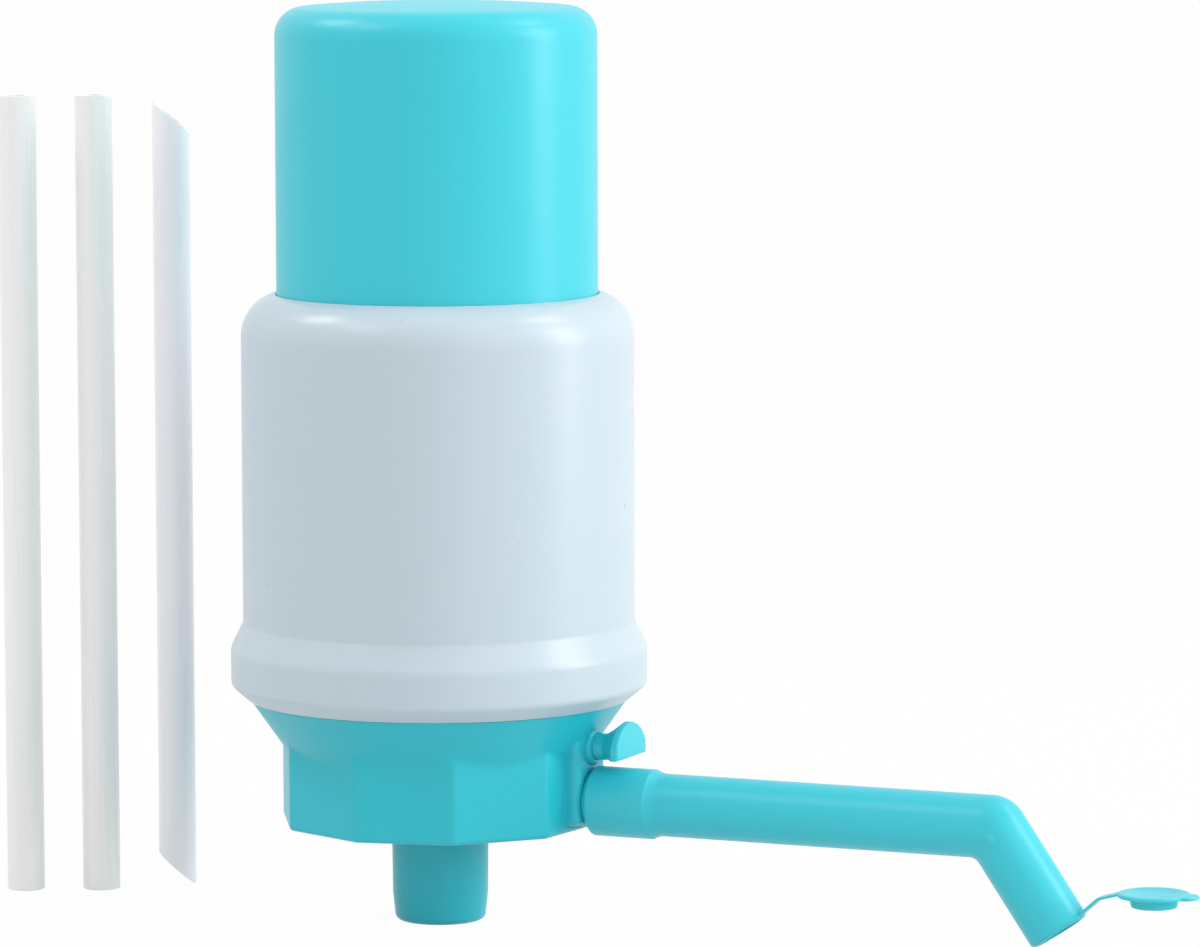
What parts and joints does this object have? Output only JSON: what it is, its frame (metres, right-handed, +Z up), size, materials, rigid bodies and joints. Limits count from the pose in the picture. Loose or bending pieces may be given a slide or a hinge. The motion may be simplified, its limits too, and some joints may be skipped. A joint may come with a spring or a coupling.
{
  "type": "water jug hand pump",
  "caption": "Hand-pressed air pump for a large water jug: push cap on a bellows, milky casing, neck collar, vent button, swivel spout with a lid and loose suction tubes.",
  "frame": {"origin": "centre of the collar's mouth, the plane at its foot, on the axis of the pump and of the jug's neck", "axes": "+Z up along the pump and away from the jug, +X along the straight leg of the spout at rest, +Y to the left of the spout seen from the pump"},
  "size_m": [0.2701, 0.0872, 0.1929],
  "materials": {
    "aqua_plastic": "satin gloss",
    "milky_plastic": "milky, satin gloss",
    "clear_tube": "translucent, smooth",
    "white_plastic": "matte",
    "bellows_plastic": "matte",
    "silicone": "matte",
    "black_rubber": "matte",
    "spring_steel": "smooth"
  },
  "bodies": {
    "pump_base": {"pump_housing": "milky_plastic", "base_adaptor": "aqua_plastic", "neck_collar": "aqua_plastic", "nozzle_hub": "aqua_plastic", "spout_stub": "aqua_plastic", "suction_nozzle": "aqua_plastic", "nozzle_o_ring": "black_rubber", "neck_gasket": "silicone", "spout_o_ring": "black_rubber", "valve_plate": "white_plastic", "plate_seal": "black_rubber", "bellows_clamp_ring": "white_plastic", "bellows": "bellows_plastic", "return_spring": "spring_steel", "vent_spring": "spring_steel"},
    "cap": {"push_cap": "aqua_plastic", "bellows_head": "white_plastic", "head_clip": "white_plastic"},
    "inlet_valve": {"inlet_valve": "silicone"},
    "outlet_valve": {"outlet_valve": "silicone"},
    "spout": {"spout_tube": "aqua_plastic", "spout_elbow": "aqua_plastic", "lid_strap": "aqua_plastic"},
    "lid": {"spout_lid": "aqua_plastic"},
    "vent": {"vent_button": "aqua_plastic", "vent_seal": "silicone", "vent_retainer": "spring_steel"},
    "tube_left": {"suction_tube_left": "clear_tube"},
    "tube_middle": {"suction_tube_middle": "clear_tube"},
    "tube_bevelled": {"suction_tube_bevelled": "clear_tube"}
  },
  "joints": [
    {"name": "cap_press", "type": "slide", "parent": "pump_base", "child": "cap", "axis": [0, 0, -1], "range_m": [0, 0.05], "stiffness_N_per_m": 350, "springref_m": -0.01, "deforming": ["bellows", "return_spring"]},
    {"name": "inlet_lift", "type": "slide", "parent": "cap", "child": "inlet_valve", "axis": [0, 0, -1], "range_m": [0, 0.0008], "stiffness_N_per_m": 20, "springref_m": -0.0005},
    {"name": "outlet_lift", "type": "slide", "parent": "pump_base", "child": "outlet_valve", "axis": [0, 0, -1], "range_m": [0, 0.0008], "stiffness_N_per_m": 20, "springref_m": -0.0005},
    {"name": "spout_swivel", "type": "hinge", "parent": "pump_base", "child": "spout", "pos_m": [0.042, 0, 0.0064], "axis": [1, 0, 0], "continuous": true},
    {"name": "lid_swing", "type": "hinge", "parent": "spout", "child": "lid", "pos_m": [0.14688, 0, -0.0069], "axis": [0, 1, 0], "range_deg": [0, 145]},
    {"name": "vent_press", "type": "slide", "parent": "pump_base", "child": "vent", "axis": [-1, 0, 0], "range_m": [0, 0.002], "stiffness_N_per_m": 400, "springref_m": -0.002, "deforming": ["vent_spring"]},
    {"name": "tube_left_lift", "type": "slide", "parent": "pump_base", "child": "tube_left", "axis": [0, 0, 1], "range_m": [0, 0.2]},
    {"name": "tube_middle_lift", "type": "slide", "parent": "pump_base", "child": "tube_middle", "axis": [0, 0, 1], "range_m": [0, 0.2]},
    {"name": "tube_bevelled_lift", "type": "slide", "parent": "pump_base", "child": "tube_bevelled", "axis": [0, 0, 1], "range_m": [0, 0.2]}
  ]
}
